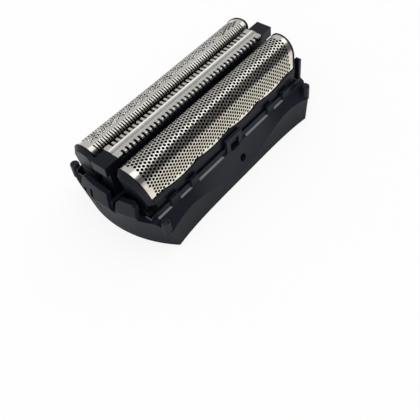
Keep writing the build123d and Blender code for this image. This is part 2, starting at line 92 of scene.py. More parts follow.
class Socket:
    """An output of a shader node that Python expressions can use."""

    def __init__(self, graph: "Graph", output: Optional[bpy.types.NodeSocket]) -> None:
        """Keeps the output with the graph that it belongs to.

        Args:
            graph: The graph that new nodes are added to.
            output: The node output that this stands for, or None for a node that ends the graph.
        """
        self.graph = graph
        self.output = output

    def __add__(self, other: "Value") -> "Socket":
        """Adds a value."""
        return self.graph.math("ADD", self, other)

    def __radd__(self, other: "Value") -> "Socket":
        """Adds to a value."""
        return self.graph.math("ADD", other, self)

    def __sub__(self, other: "Value") -> "Socket":
        """Takes a value away."""
        return self.graph.math("SUBTRACT", self, other)

    def __rsub__(self, other: "Value") -> "Socket":
        """Is taken away from a value."""
        return self.graph.math("SUBTRACT", other, self)

    def __mul__(self, other: "Value") -> "Socket":
        """Multiplies by a value."""
        return self.graph.math("MULTIPLY", self, other)

    def __rmul__(self, other: "Value") -> "Socket":
        """Multiplies a value."""
        return self.graph.math("MULTIPLY", other, self)

    def ramp(self, low: float, high: float) -> "Socket":
        """Eases from 0 at one value to 1 at another.

        Args:
            low: The value that gives 0.
            high: The value that gives 1.

        Returns:
            The eased share.
        """
        settings = {"interpolation_type": "SMOOTHSTEP"}
        limits = {"Value": self, "From Min": low, "From Max": high}
        return self.graph.node("ShaderNodeMapRange", settings, limits)

    def band(self, low: float, high: float, soft: float) -> "Socket":
        """Is 1 between two values and 0 outside them.

        Args:
            low: The lower value.
            high: The upper value.
            soft: How wide each edge is.

        Returns:
            The share inside the band.
        """
        return self.ramp(low - soft, low + soft) * (1 - self.ramp(high - soft, high + soft))


Value = Union[Socket, float]


class Graph:
    """The node graph of one material, or of the room."""

    MIX_START, MIX_END, MIX_RESULT = 6, 7, 2
    EDGE_SAMPLES = 6
    EDGE_TURN = (0.004, 0.12)

    def __init__(self, owner: Union[bpy.types.Material, bpy.types.World]) -> None:
        """Starts an empty graph.

        Args:
            owner: The material or the world that the graph colours.
        """
        self.owner = owner
        owner.use_nodes = True
        self.tree = owner.node_tree
        self.tree.nodes.clear()

    def feed(self, target: bpy.types.NodeSocket, value: Any) -> None:
        """Links a socket into an input, or sets the input's own value.

        Args:
            target: The input.
            value: A socket, a number or a colour.
        """
        if isinstance(value, Socket):
            self.tree.links.new(value.output, target)
        else:
            target.default_value = value

    def node(self, kind: str, settings: dict[str, Any], inputs: dict[Any, Any],
             output: Union[int, str] = 0) -> Socket:
        """Adds a node of any kind.

        Args:
            kind: Blender's name for the node type.
            settings: The node's own settings, set before its sockets are fed.
            inputs: Values or links for its inputs, by name or number.
            output: The output that is wanted.

        Returns:
            That output.
        """
        made = self.tree.nodes.new(kind)
        for name, value in settings.items():
            setattr(made, name, value)
        for name, value in inputs.items():
            self.feed(made.inputs[name], value)
        return Socket(self, made.outputs[output] if made.outputs else None)

    def math(self, operation: str, left: Value, right: Value) -> Socket:
        """Adds one Math node for an expression."""
        return self.node("ShaderNodeMath", {"operation": operation}, {0: left, 1: right})

    def mix(self, share: Value, start: Any, end: Any) -> Socket:
        """Mixes two colours.

        Args:
            share: How much of the second colour, from 0 to 1.
            start: The first colour, or a socket.
            end: The second colour, or a socket.

        Returns:
            The mixed colour.
        """
        first, second = (value if isinstance(value, Socket) else (*value, 1.0) for value in (start, end))
        inputs = {0: share, self.MIX_START: first, self.MIX_END: second}
        return self.node("ShaderNodeMix", {"data_type": "RGBA"}, inputs, self.MIX_RESULT)

    def place(self, stretch: Point = (1.0, 1.0, 1.0)) -> Socket:
        """Gives the point on the piece, in its own space.

        Args:
            stretch: How many times finer the texture is along each axis.

        Returns:
            The stretched position.
        """
        here = self.node("ShaderNodeTexCoord", {}, {}, "Object")
        return self.node("ShaderNodeMapping", {}, {"Vector": here, "Scale": stretch})

    def coordinate(self, axis: str) -> Socket:
        """Gives the place on the piece along one axis."""
        here = self.node("ShaderNodeTexCoord", {}, {}, "Object")
        return self.node("ShaderNodeSeparateXYZ", {}, {0: here}, axis)

    def reach(self, axis: str) -> Socket:
        """Gives the distance from the middle of the head along one axis."""
        return self.math("ABSOLUTE", self.coordinate(axis), 0.0)

    def noise(self, place: Socket, size_mm: float, detail: float = 3.0) -> Socket:
        """Adds a noise pattern.

        Args:
            place: Where on the piece.
            size_mm: The size of its patches, in millimetres.
            detail: How many finer layers it has.

        Returns:
            The pattern, from 0 to 1.
        """
        inputs = {"Vector": place, "Scale": 1 / (size_mm * MM), "Detail": detail}
        return self.node("ShaderNodeTexNoise", {}, inputs)

    def edge(self, radius_mm: float) -> tuple[Socket, Socket]:
        """Finds the rounded edges of a piece.

        Args:
            radius_mm: The radius that edges are rounded to.

        Returns:
            The rounded normal, and a mask that is 1 on the edges.
        """
        rounded = self.node("ShaderNodeBevel", {"samples": self.EDGE_SAMPLES}, {"Radius": radius_mm * MM})
        flat = self.node("ShaderNodeNewGeometry", {}, {}, "Normal")
        normals = {0: rounded, 1: flat}
        match = self.node("ShaderNodeVectorMath", {"operation": "DOT_PRODUCT"}, normals, "Value")
        return rounded, (1 - match).ramp(*self.EDGE_TURN)

    def bump(self, height: Socket, depth_mm: float, normal: Optional[Socket] = None) -> Socket:
        """Adds fine relief.

        Args:
            height: The relief, from 0 to 1.
            depth_mm: How deep it is.
            normal: A normal to start from.

        Returns:
            The new normal.
        """
        inputs = {"Height": height, "Distance": depth_mm * MM, "Strength": 1.0}
        if normal is not None:
            inputs["Normal"] = normal
        return self.node("ShaderNodeBump", {}, inputs)

    def surface(self, inputs: dict[str, Any]) -> bpy.types.Material:
        """Ends the graph with its shader.

        Args:
            inputs: Values or links for the shader's sockets.

        Returns:
            The finished material.
        """
        shader = self.node("ShaderNodeBsdfPrincipled", {}, inputs)
        self.node("ShaderNodeOutputMaterial", {}, {"Surface": shader})
        return self.owner


@dataclass(frozen=True)
class PaintedLedgeHighlights:
    """Highlights painted as pale strips along the ledge, where light catches it. Sizes are in millimetres."""

    colour: Colour = (0.36, 0.37, 0.39)
    strength: float = 0.95
    heights: Pair = (7.08, 7.25)
    across: Pair = (10.08, 10.54)
    stretches: tuple[Pair, ...] = (
        (-21.6, -18.2), (-15.7, -12.7), (-10.5, -3.5), (3.5, 10.5), (12.7, 15.7))
    corner_x: Pair = (22.44, 22.66)
    corner_y: Pair = (8.1, 9.6)
    soft: float = 0.03

    def mask(self, graph: Graph) -> Socket:
        """Finds where the highlights are painted on the frame.

        Args:
            graph: The frame's material.

        Returns:
            A mask that is 1 on the painted highlights.
        """
        x, y, z = (graph.reach(axis) for axis in "XYZ")
        soft = self.soft * MM
        along: Value = 0.0
        for stretch in self.stretches:
            along = along + graph.coordinate("X").band(*metres(stretch), soft)
        strips = along * y.band(*metres(self.across), soft)
        corners = x.band(*metres(self.corner_x), soft) * y.band(*metres(self.corner_y), soft)
        return (strips + corners) * z.band(*metres(self.heights), soft)


@dataclass(frozen=True)
class MouldedPlastic:
    """Moulded plastic with a fine grain, and edges that have gone a little pale."""

    name: str
    colour: Colour
    pale: Colour
    roughness: float
    grain_mm: float
    grain_depth_mm: float
    edge_mm: float
    shine: float = 0.33
    ledge_highlights: Optional[PaintedLedgeHighlights] = None
    grain_detail: float = 2.0
    grain_roughness: float = 0.1
    cloud_mm: float = 6.0
    cloud_range: Pair = (0.3, 0.7)
    cloud_shade: float = 0.8
    cloud_roughness: float = 0.12
    scuff_mm: float = 0.7
    scuff_stretch: Point = (1.0, 1.0, 6.0)
    scuff_detail: float = 4.0
    scuff_range: Pair = (0.35, 0.75)
    wear: float = 0.55

    def material(self) -> bpy.types.Material:
        """Builds the finish.

        Returns:
            The material.
        """
        graph = Graph(bpy.data.materials.new(self.name))
        place = graph.place()
        grain = graph.noise(place, self.grain_mm, self.grain_detail)
        cloud = graph.noise(place, self.cloud_mm)
        scuff = graph.noise(graph.place(self.scuff_stretch), self.scuff_mm, self.scuff_detail)
        normal, edge = graph.edge(self.edge_mm)
        worn = edge * scuff.ramp(*self.scuff_range)
        shaded = [self.cloud_shade * part for part in self.colour]
        tone = graph.mix(cloud.ramp(*self.cloud_range), self.colour, shaded)
        colour = graph.mix(worn * self.wear, tone, self.pale)
        # Paints highlights as pale strips along the ledge, where light catches it.
        if self.ledge_highlights is not None:
            colour = graph.mix(self.ledge_highlights.mask(graph) * self.ledge_highlights.strength, colour, self.ledge_highlights.colour)
        roughness = self.roughness + (cloud - NOISE_MEAN) * self.cloud_roughness
        roughness = roughness + (grain - NOISE_MEAN) * self.grain_roughness
        relief = graph.bump(grain, self.grain_depth_mm, normal)
        return graph.surface({
            "Base Color": colour, "Roughness": roughness, "Normal": relief, "Specular IOR Level": self.shine})


@dataclass(frozen=True)
class FoilZones:
    """Where the foil's finish changes, and the reflection painted on its flank. Sizes are in millimetres."""

    # Painted reflection on the flank: cream, paler towards its lower edge.
    cream: Colour = (0.77, 0.72, 0.59)
    pale: Colour = (0.98, 0.94, 0.81)
    flank_z: Pair = (15.2, 13.2)
    pale_z: Pair = (13.8, 10.4)
    ground_y: Pair = (4.5, 4.2)
    ground_roughness: float = 0.15

    def flank(self, graph: Graph) -> Socket:
        """Finds the flank, where a cream reflection is painted."""
        return graph.reach("Z").ramp(*metres(self.flank_z))

    def cast(self, graph: Graph) -> Socket:
        """Gives the reflection painted on the flank: cream, paler towards its lower edge."""
        return graph.mix(graph.reach("Z").ramp(*metres(self.pale_z)), self.cream, self.pale)

    def ground(self, graph: Graph) -> Socket:
        """Finds the inner bend, which is ground matt."""
        return graph.reach("Y").ramp(*metres(self.ground_y))


@dataclass(frozen=True)
class Steel:
    """Steel with rolling lines along the part."""

    name: str
    colour: Colour
    tint: Colour
    roughness: float
    line_mm: float
    line_depth_mm: float
    line_stretch: Point
    edge_mm: float
    sheet: Optional[FoilZones] = None
    line_roughness: float = 0.16
    cloud_mm: float = 3.5
    cloud_range: Pair = (0.3, 0.75)
    stain_mm: float = 0.9
    stain_detail: float = 4.0
    stain_range: Pair = (0.5, 0.85)
    stain_share: float = 0.35
    stain_shade: float = 0.62
    stain_roughness: float = 0.08

    def material(self) -> bpy.types.Material:
        """Builds the finish.

        Returns:
            The material.
        """
        graph = Graph(bpy.data.materials.new(self.name))
        lines = graph.noise(graph.place(self.line_stretch), self.line_mm)
        cloud = graph.noise(graph.place(), self.cloud_mm)
        stain = graph.noise(graph.place(), self.stain_mm, self.stain_detail).ramp(*self.stain_range)
        tone = graph.mix(cloud.ramp(*self.cloud_range), self.colour, self.tint)
        stained = [self.stain_shade * part for part in self.tint]
        colour = graph.mix(stain * self.stain_share, tone, stained)
        roughness = self.roughness + (lines - NOISE_MEAN) * self.line_roughness
        roughness = roughness + stain * self.stain_roughness
        if self.sheet is not None:
            # Paints a cream reflection on the flank, paler towards its lower edge.
            colour = graph.mix(self.sheet.flank(graph), colour, self.sheet.cast(graph))
            roughness = roughness + self.sheet.ground(graph) * self.sheet.ground_roughness
        normal, _ = graph.edge(self.edge_mm)
        relief = graph.bump(lines, self.line_depth_mm, normal)
        inputs = {"Base Color": colour, "Metallic": 1.0, "Roughness": roughness, "Normal": relief}
        return graph.surface(inputs)


class Finishes:
    """Every finish of the head, each built once."""

    def __init__(self) -> None:
        """Builds the materials."""
        self.black = MouldedPlastic(
            "black_plastic", colour=(0.008, 0.011, 0.022), pale=(0.05, 0.055, 0.07), roughness=0.44,
            grain_mm=0.16, grain_depth_mm=0.012, edge_mm=0.14, ledge_highlights=PaintedLedgeHighlights()).material()
        self.gloss = MouldedPlastic(
            "carrier_plastic", colour=(0.006, 0.008, 0.016), pale=(0.04, 0.044, 0.058), roughness=0.36,
            grain_mm=0.14, grain_depth_mm=0.008, edge_mm=0.1, shine=0.22).material()
        self.pale = MouldedPlastic(
            "slider_plastic", colour=(0.62, 0.6, 0.54), pale=(0.8, 0.79, 0.75), roughness=0.45,
            grain_mm=0.18, grain_depth_mm=0.01, edge_mm=0.1).material()
        self.foil = Steel(
            "foil_steel", colour=(0.86, 0.84, 0.79), tint=(0.8, 0.76, 0.68), roughness=0.2, line_mm=0.05,
            line_depth_mm=0.0015, line_stretch=(0.05, 1.0, 1.0), edge_mm=0.01, sheet=FoilZones()).material()
        # Steel darkened as painted shade, for the foil's inner face and hole walls, where the head's inside
        # lies in shade.
        self.inside = Steel(
            "foil_inside", colour=(0.07, 0.066, 0.06), tint=(0.05, 0.046, 0.04), roughness=0.5, line_mm=0.06,
            line_depth_mm=0.002, line_stretch=(0.05, 1.0, 1.0), edge_mm=0.01).material()
        self.comb = Steel(
            "comb_steel", colour=(0.8, 0.79, 0.76), tint=(0.74, 0.72, 0.67), roughness=0.3, line_mm=0.05,
            line_depth_mm=0.002, line_stretch=(0.04, 1.0, 1.0), edge_mm=0.05).material()
        # The blade's steel is darkened as painted shade, for the blade lying in shadow under the comb.
        self.blade = Steel(
            "blade_steel", colour=(0.3, 0.3, 0.31), tint=(0.24, 0.24, 0.25), roughness=0.35, line_mm=0.06,
            line_depth_mm=0.003, line_stretch=(1.0, 0.05, 1.0), edge_mm=0.03).material()
        self.spring = Steel(
            "spring_steel", colour=(0.2, 0.2, 0.22), tint=(0.14, 0.14, 0.15), roughness=0.36, line_mm=0.05,
            line_depth_mm=0.002, line_stretch=(1.0, 0.1, 1.0), edge_mm=0.04).material()


def give_finish(node: str, material: bpy.types.Material) -> None:
    """Gives a CAD node its finish.

    Args:
        node: The node's name.
        material: The finish.
    """
    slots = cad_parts[node].data.materials
    slots.clear()
    slots.append(material)
    LOG.info("dressed %s in %s", node, material.name)


def add_piece(name: str, mesh: bpy.types.Mesh, body: str,
              nodes: Sequence[str]) -> bpy.types.Object:
    """Puts a mesh in the scene as a piece of the head.

    Args:
        name: The piece's name.
        mesh: Its mesh, in metres.
        body: The body that it rides on.
        nodes: The CAD nodes that it stands for.

    Returns:
        The new object.
    """
    piece = bpy.data.objects.new(name, mesh)
    bpy.context.scene.collection.objects.link(piece)
    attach(piece, body)
    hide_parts(*nodes)
    LOG.info("built %s with %d faces", name, len(mesh.polygons))
    return piece


class PiercedSheet:
    """A flat sheet with openings, filled with triangles before it is bent."""

    CORNER_INSET = 0.3
    CORNER_SHARE = 0.7
    WHOLE_HULL = 0
    MERGE_BELOW = 1e-6

    def __init__(self, half_length: float, height: float, step: float) -> None:
        """Sets out the sheet's edge.

        Args:
            half_length: Half the sheet's length.
            height: Its height.
            step: The distance between points along its edge.
        """
        self.points: list[SheetPoint] = []
        self.owners: list[int] = []
        self.edges: list[tuple[int, int]] = []
        columns = round(2 * half_length / step)
        rows = round(height / step)
        across = [half_length * (2 * column / columns - 1) for column in range(columns + 1)]
        up = [height * row / rows for row in range(1, rows)]
        border = [(x, 0.0) for x in across] + [(half_length, run) for run in up]
        border += [(-x, height) for x in across] + [(-half_length, height - run) for run in up]
        self.loops = 0
        self.loop(border)

    def loop(self, outline: Sequence[SheetPoint]) -> None:
        """Adds a closed line that no triangle crosses: the edge first, then the openings.

        Args:
            outline: The line's points in order.
        """
        first = len(self.points)
        count = len(outline)
        self.points += outline
        self.owners += [self.loops] * count
        self.edges += [(first + index, first + (index + 1) % count) for index in range(count)]
        self.loops += 1

    def hole(self, centre: SheetPoint, radius: float, corners: int) -> None:
        """Opens a round hole.

        Args:
            centre: The hole's centre.
            radius: Its radius.
            corners: How many corners its edge has.
        """
        x, y = centre
        turns = [2 * math.pi * corner / corners for corner in range(corners)]
        self.loop([(x + radius * math.cos(turn), y + radius * math.sin(turn)) for turn in turns])

    def slit(self, along: float, low: float, high: float, width: float, step: float) -> None:
        """Opens a slit that runs up the sheet, with rounded ends.

        Args:
            along: Its place along the sheet.
            low: Its lower end.
            high: Its upper end.
            width: Its width.
            step: The distance between points along its sides.
        """
        half = width / 2
        count = round((high - low - width) / step)
        side = [low + half + (high - low - width) * index / count for index in range(count + 1)]
        right = [(along + half, run) for run in side]
        left = [(along - half, run) for run in reversed(side)]
        inset, corner = half * self.CORNER_INSET, half * self.CORNER_SHARE
        top = [(along + corner, high - inset), (along - corner, high - inset)]
        foot = [(along - corner, low + inset), (along + corner, low + inset)]
        self.loop(right + top + left + foot)

    def fill(self) -> tuple[list[SheetPoint], list[tuple[int, ...]]]:
        """Fills the sheet round its openings.

        Returns:
            Its points and its triangles.
        """
        places = [Vector(point) for point in self.points]
        filled = delaunay_2d_cdt(places, self.edges, [], self.WHOLE_HULL, self.MERGE_BELOW)
        made, _, faces, sources, _, _ = filled
        owners = [self.owners[source[0]] for source in sources]
        kept = []
        for face in faces:
            around = {owners[corner] for corner in face}
            if len(around) > 1 or around == {0}:
                kept.append(tuple(face))
        return [(place.x, place.y) for place in made], kept


@dataclass
class FoilCassette:
    """One foil with its rails and caps. Sizes are in millimetres."""

    side: Side
    perforation: Perforation
    finishes: Finishes
    top_z: float = 16.75
    radius: float = 3.9
    centre_y: float = 4.85
    bend_radius: float = 1.4
    inner_y: float = 3.05
    flank_deg: float = 10.0
    bottom_z: float = 10.1
    end_x: float = 22.2
    end_lean: float = 0.19
    thick: float = 0.09
    hole_spacing: float = 0.72
    hole_turn_deg: float = -22.6
    hole_radius: float = 0.285
    hole_corners: int = 12
    slit_pitch: float = 0.58
    slit_width: float = 0.29
    slit_below: float = 0.6
    slit_above: float = 2.0
    band: float = 0.28
    holes_above: float = 0.9
    flat_deg: float = 48.0
    end_margin: float = 0.9
    edge_margin: float = 0.6
    step: float = 0.25
    give: float = 0.12
    give_length: float = 26.0
    give_turn: float = 1.9
    give_swing: float = 0.6
    sharp_deg: float = 50.0

    @property
    def bend_centre_z(self) -> float:
        """Height of the small inner bend's centre.

        Returns:
            The height.
        """
        reach = self.radius - self.bend_radius
        across = self.inner_y + self.bend_radius - self.centre_y
        return self.top_z - self.radius + math.sqrt(reach**2 - across**2)

    @property
    def runs(self) -> tuple[float, float, float, float]:
        """Lengths of the foil's section, stretch by stretch.

        Returns:
            The lengths of the inner leg, the small bend, the crown and the outer flank.
        """
        flank = math.radians(self.flank_deg)
        leg = self.bend_centre_z - self.bottom_z
        shoulder_z = self.top_z - self.radius + self.radius * math.sin(flank)
        bend = self.bend_radius * (math.pi - self.join_angle)
        crown = self.radius * (self.join_angle - flank)
        return leg, bend, crown, (shoulder_z - self.bottom_z) / math.cos(flank)

    @property
    def join_angle(self) -> float:
        """Angle at which the small bend meets the crown."""
        across = self.inner_y + self.bend_radius - self.centre_y
        return math.atan2(self.bend_centre_z - (self.top_z - self.radius), across)

    def section(self, run: float) -> tuple[float, float, float, float]:
        """Follows the foil's section from its inner edge, over the crown, to its outer edge.

        Args:
            run: The distance along the section.

        Returns:
            The point's y and z on the left side, and the outward direction's y and z.
        """
        leg, bend, crown, _ = self.runs
        flank = math.radians(self.flank_deg)
        if run <= leg:
            return self.inner_y, self.bottom_z + run, -1.0, 0.0
        if run <= leg + bend:
            return self.bend_section(math.pi - (run - leg) / self.bend_radius)
        turn = max(self.join_angle - (run - leg - bend) / self.radius, flank)
        out_y, out_z = math.cos(turn), math.sin(turn)
        past = max(run - leg - bend - crown, 0.0)
        y = self.centre_y + self.radius * out_y + past * math.sin(flank)
        z = self.top_z - self.radius + self.radius * out_z - past * math.cos(flank)
        return y, z, out_y, out_z

    def bend_section(self, turn: float) -> tuple[float, float, float, float]:
        """Follows the small inner bend, which is ground flat where it nears the crown.

        Args:
            turn: The angle round the bend, in radians.

        Returns:
            The point's y and z on the left side, and the outward direction's y and z.
        """
        start = math.pi / 2 + math.radians(self.flat_deg)
        reach = Vector((math.cos(turn), math.sin(turn)))
        out = reach
        if turn < start:
            ends = [Vector((math.cos(angle), math.sin(angle))) for angle in (start, self.join_angle)]
            reach = ends[0].lerp(ends[1], (start - turn) / (start - self.join_angle))
            out = (ends[0] + ends[1]).normalized()
        y = self.inner_y + self.bend_radius * (1 + reach.x)
        return y, self.bend_centre_z + self.bend_radius * reach.y, out.x, out.y

    def bent(self, along: float, run: float, depth: float) -> Point:
        """Bends one point of the flat sheet into place.

        Args:
            along: Its place along the sheet.
            run: Its distance along the section.
            depth: How far inside the outer face.

        Returns:
            The point, in metres.
        """
        y, z, out_y, out_z = self.section(run)
        depth += self.sag(along, run)
        lean = 1 + self.end_lean * (z - self.top_z) / self.end_x
        across = (y - depth * out_y) * self.side.value
        return along * lean * MM, across * MM, (z - depth * out_z) * MM

    def sag(self, along: float, run: float) -> float:
        """Says how far the thin sheet gives inwards between its rails and caps.

        Args:
            along: The place along the sheet.
            run: The distance along the section.

        Returns:
            The depth.
        """
        hold = math.sin(math.pi * run / sum(self.runs)) * math.cos(math.pi * along / (2 * self.end_x))
        swing = self.give_swing * math.sin(2 * math.pi * along / self.give_length)
        wave = math.sin(self.give_turn * run + swing)
        return self.give * hold * (1 + wave) / 2

    def hole_places(self, low: float, high: float) -> list[SheetPoint]:
        """Sets out the holes on a turned lattice of equal triangles.

        Args:
            low: The lowest place for a centre.
            high: The highest place.

        Returns:
            The holes' centres.
        """
        turn = math.radians(self.hole_turn_deg)
        reach = self.end_x - self.end_margin - self.hole_radius
        count = int(2 * self.end_x / self.hole_spacing)
        steps = [(math.cos(angle) * self.hole_spacing, math.sin(angle) * self.hole_spacing)
                 for angle in (turn, turn + math.pi / 3)]
        places = []
        for first in range(-count, count + 1):
            for second in range(-count, count + 1):
                along = first * steps[0][0] + second * steps[1][0]
                run = (low + high) / 2 + first * steps[0][1] + second * steps[1][1]
                if abs(along) <= reach and low <= run <= high:
                    places.append((-self.side.value * along, run))
        return places

    def sheet(self) -> PiercedSheet:
        """Lays out the openings from the inner bend, over the crown, to the flank.

        Returns:
            The flat sheet.
        """
        leg = self.runs[0]
        total = sum(self.runs)
        sheet = PiercedSheet(self.end_x, total, self.step)
        low = leg + self.holes_above
        if self.perforation is Perforation.SLITS_AND_HOLES:
            low = leg + self.slit_above + self.band + self.hole_radius
            slits = int(2 * (self.end_x - self.end_margin) / self.slit_pitch)
            for index in range(slits):
                along = (index - (slits - 1) / 2) * self.slit_pitch
                sheet.slit(along, leg - self.slit_below, leg + self.slit_above, self.slit_width, self.step)
        for centre in self.hole_places(low, total - self.edge_margin - self.hole_radius):
            sheet.hole(centre, self.hole_radius, self.hole_corners)
        return sheet

    def mesh(self) -> bpy.types.Mesh:
        """Bends the pierced sheet and gives it its thickness.

        Returns:
            The foil's mesh.
        """
        flat, outer = self.sheet().fill()
        points = [self.bent(along, run, 0.0) for along, run in flat]
        points += [self.bent(along, run, self.thick) for along, run in flat]
        shift = len(flat)
        edges = {pair for corners in outer for pair in zip(corners, corners[1:] + corners[:1])}
        inner = [tuple(corner + shift for corner in reversed(corners)) for corners in outer]
        rims = [(end, start, start + shift, end + shift) for start, end in edges if (end, start) not in edges]
        faces = outer + inner + rims
        if self.side is Side.LEFT:
            faces = [tuple(reversed(corners)) for corners in faces]
        mesh = bpy.data.meshes.new("foil_" + self.side.label)
        mesh.from_pydata(points, [], faces)
        mesh.materials.append(self.finishes.foil)
        mesh.materials.append(self.finishes.inside)
        # The inner face and the hole walls take the darkened steel: painted shade.
        mesh.polygons.foreach_set("material_index", [0] * len(outer) + [1] * (len(inner) + len(rims)))
        mesh.validate()
        mesh.shade_smooth()
        mesh.set_sharp_from_angle(angle=math.radians(self.sharp_deg))
        return mesh

    def build(self) -> None:
        """Builds the pierced foil in place of its plain solid."""
        body = "foil_" + self.side.label
        add_piece("pierced_foil_" + self.side.label, self.mesh(), body, [body])

    def dress(self) -> None:
        """Gives the rails and caps their finish."""
        for place in ("outer", "inner"):
            give_finish(f"rail_{self.side.label}_{place}", self.finishes.gloss)
        for end in End:
            give_finish(f"cap_{self.side.label}_{end.value}", self.finishes.gloss)


@dataclass
class TrimmerComb:
    """The trimmer between the foils. Sizes are in millimetres."""

    finishes: Finishes
    teeth: int = 36
    pitch: float = 1.05
    plain_end: float = 1.6
    reaches: Pair = (2.0, 1.7)
    root_y: float = 0.83
    thick: float = 0.35
    top_z: float = 16.64
    gap: float = 0.52
    tip_radius: float = 0.2
    tip_drop: float = 0.16
    tip_length: float = 0.6
    end_share: float = 0.3
    rounding: float = 0.05
    rounding_steps: int = 2
    end_steps: int = 3
    tip_steps: int = 4
    root_steps: int = 6
    sharp_deg: float = 40.0
    rib_profile: tuple[SheetPoint, ...] = (
        (-0.26, 0.0), (-0.09, 0.22), (0.42, 0.05), (0.72, 0.18), (0.82, 0.0))

    @property
    def half_length(self) -> float:
        """Half the comb's length."""
        return self.teeth * self.pitch / 2 + self.plain_end

    @staticmethod
    def arc(centre: SheetPoint, radius: float, sweep: Pair, steps: int) -> list[SheetPoint]:
        """Points along an arc.

        Args:
            centre: Its centre, along the comb and across it.
            radius: Its radius.
            sweep: The first and the last angle, in degrees.
            steps: How many steps to take.

        Returns:
            The points.
        """
        x, y = centre
        start, end = sweep
        turns = [math.radians(start + (end - start) * step / steps) for step in range(steps + 1)]
        return [(x + radius * math.cos(turn), y + radius * math.sin(turn)) for turn in turns]

    def edge_line(self, tip: float) -> list[SheetPoint]:
        """Follows a toothed edge on the +Y side, from the +X end to the -X end.

        Args:
            tip: How far the teeth reach from the middle.

        Returns:
            The points of the edge.
        """
        half_gap = self.gap / 2
        radius = self.tip_radius
        shoulder = tip - radius
        root = self.root_y + half_gap
        line = self.arc((self.half_length - radius, shoulder), radius, (0, 90), self.end_steps)
        for index in range(self.teeth, -1, -1):
            x = (index - self.teeth / 2) * self.pitch
            line += self.arc((x + half_gap + radius, shoulder), radius, (90, 180), self.tip_steps)
            line += self.arc((x, root), half_gap, (0, -180), self.root_steps)
            line += self.arc((x - half_gap - radius, shoulder), radius, (0, 90), self.tip_steps)
        line += self.arc((radius - self.half_length, shoulder), radius, (90, 180), self.end_steps)
        return line

    def plate(self) -> tuple[list[Vector], list[tuple[int, ...]]]:
        """Makes the comb's plate with rounded edges from its outline.

        Returns:
            Its points in millimetres and its faces.
        """
        upper, lower = (self.edge_line(tip) for tip in self.reaches)
        outline = upper + [(-x, -y) for x, y in lower]
        curve = bpy.data.curves.new("comb_outline", "CURVE")
        curve.dimensions = "2D"
        curve.fill_mode = "BOTH"
        curve.extrude = self.thick / 2 - self.rounding
        curve.bevel_depth = self.rounding
        curve.bevel_resolution = self.rounding_steps
        curve.offset = -self.rounding
        spline = curve.splines.new("POLY")
        spline.points.add(len(outline) - 1)
        for point, (x, y) in zip(spline.points, outline):
            point.co = (x, y, 0.0, 1.0)
        spline.use_cyclic_u = True
        holder = bpy.data.objects.new("comb_outline", curve)
        bpy.context.scene.collection.objects.link(holder)
        bpy.context.view_layer.update()
        graph = bpy.context.evaluated_depsgraph_get()
        made = bpy.data.meshes.new_from_object(holder.evaluated_get(graph))
        points = [vertex.co.copy() for vertex in made.vertices]
        faces = [tuple(polygon.vertices) for polygon in made.polygons]
        bpy.data.objects.remove(holder)
        bpy.data.curves.remove(curve)
        bpy.data.meshes.remove(made)
        return points, faces

    def rib(self, start: int) -> tuple[list[Vector], list[tuple[int, ...]]]:
        """Makes the raised rib along the middle, with a shallow channel between its two crests.

        Args:
            start: The number of its first point.

        Returns:
            Its points in millimetres and its faces.
        """
        profile = [(y, self.thick / 2 + height) for y, height in self.rib_profile]
        ring = [(profile[0][0], 0.0), *profile, (profile[-1][0], 0.0)]
        count = len(ring)
        points = [Vector((x, y, z)) for x in (-self.half_length, self.half_length) for y, z in ring]
        faces = [tuple(start + corner for corner in (index, index + 1, index + 1 + count, index + count))
                 for index in range(count - 1)]
        faces.append(tuple(range(start + count - 1, start - 1, -1)))
        faces.append(tuple(range(start + count, start + 2 * count)))
        return points, [tuple(reversed(face)) for face in faces]

    def settled(self, point: Vector) -> Point:
        """Bends the tooth tips down and puts a point at its height.

        Args:
            point: A point of the flat comb, in millimetres.

        Returns:
            The point in metres.
        """
        tip = self.reaches[0] if point.y > 0 else self.reaches[1]
        reach = max(abs(point.y) - (tip - self.tip_length), 0.0) / self.tip_length
        share = 1.0 if abs(point.x) < self.half_length - self.plain_end else self.end_share
        z = self.top_z - self.thick / 2 + point.z - self.tip_drop * share * reach**2
        return point.x * MM, point.y * MM, z * MM

    def build(self) -> None:
        """Builds the comb in place of its plain solid."""
        points, faces = self.plate()
        rib_points, rib_faces = self.rib(len(points))
        mesh = bpy.data.meshes.new("comb")
        mesh.from_pydata([self.settled(point) for point in points + rib_points], [], faces + rib_faces)
        mesh.validate()
        mesh.shade_smooth()
        mesh.set_sharp_from_angle(angle=math.radians(self.sharp_deg))
        mesh.materials.append(self.finishes.comb)
        add_piece("toothed_comb", mesh, "trimmer", ["trimmer_guard"])

    def dress(self) -> None:
        """Gives the rest of the trimmer its finishes."""
        give_finish("trimmer_carrier", self.finishes.gloss)
        give_finish("trimmer_blade", self.finishes.blade)
        give_finish("trimmer_slider", self.finishes.pale)
        give_finish("blade_springs", self.finishes.spring)


@dataclass
class HeadFrame:
    """The moulded body and the springs that stand in it. Sizes are in millimetres."""

    finishes: Finishes
    shelf_z: float = 5.4
    foil_rise: float = 2.2
    foil_travel: float = 1.2
    trimmer_rise: float = 1.1
    trimmer_travel: float = 1.0
    sharp_deg: float = 40.0

    def spring(self, node: str, joint: str, rise: float, travel: float) -> None:
        """Stands an arched spring on the shelf.

        Args:
            node: The CAD node that gives its shape.
            joint: The joint that presses on it; not used.
            rise: Its height.
            travel: How far the joint sinks.
        """
        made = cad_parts[node]
        mesh = made.data.copy()
        mesh.transform(made.matrix_world)
        mesh.materials.clear()
        mesh.materials.append(self.finishes.spring)
        mesh.shade_smooth()
        mesh.set_sharp_from_angle(angle=math.radians(self.sharp_deg))
        piece = add_piece("arched_" + node, mesh, "frame", [node])
        (rise - travel) / rise
        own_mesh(piece)

    def build(self) -> None:
        """Stands the springs in the body."""
        for end in End:
            node = f"trimmer_spring_{end.value}"
            self.spring(node, "trimmer_float", self.trimmer_rise, self.trimmer_travel)
            for side in Side:
                node = f"foil_spring_{side.label}_{end.value}"
                self.spring(node, f"foil_{side.label}_float", self.foil_rise, self.foil_travel)

    def dress(self) -> None:
        """Gives the body its finish."""
        give_finish("frame", self.finishes.black)


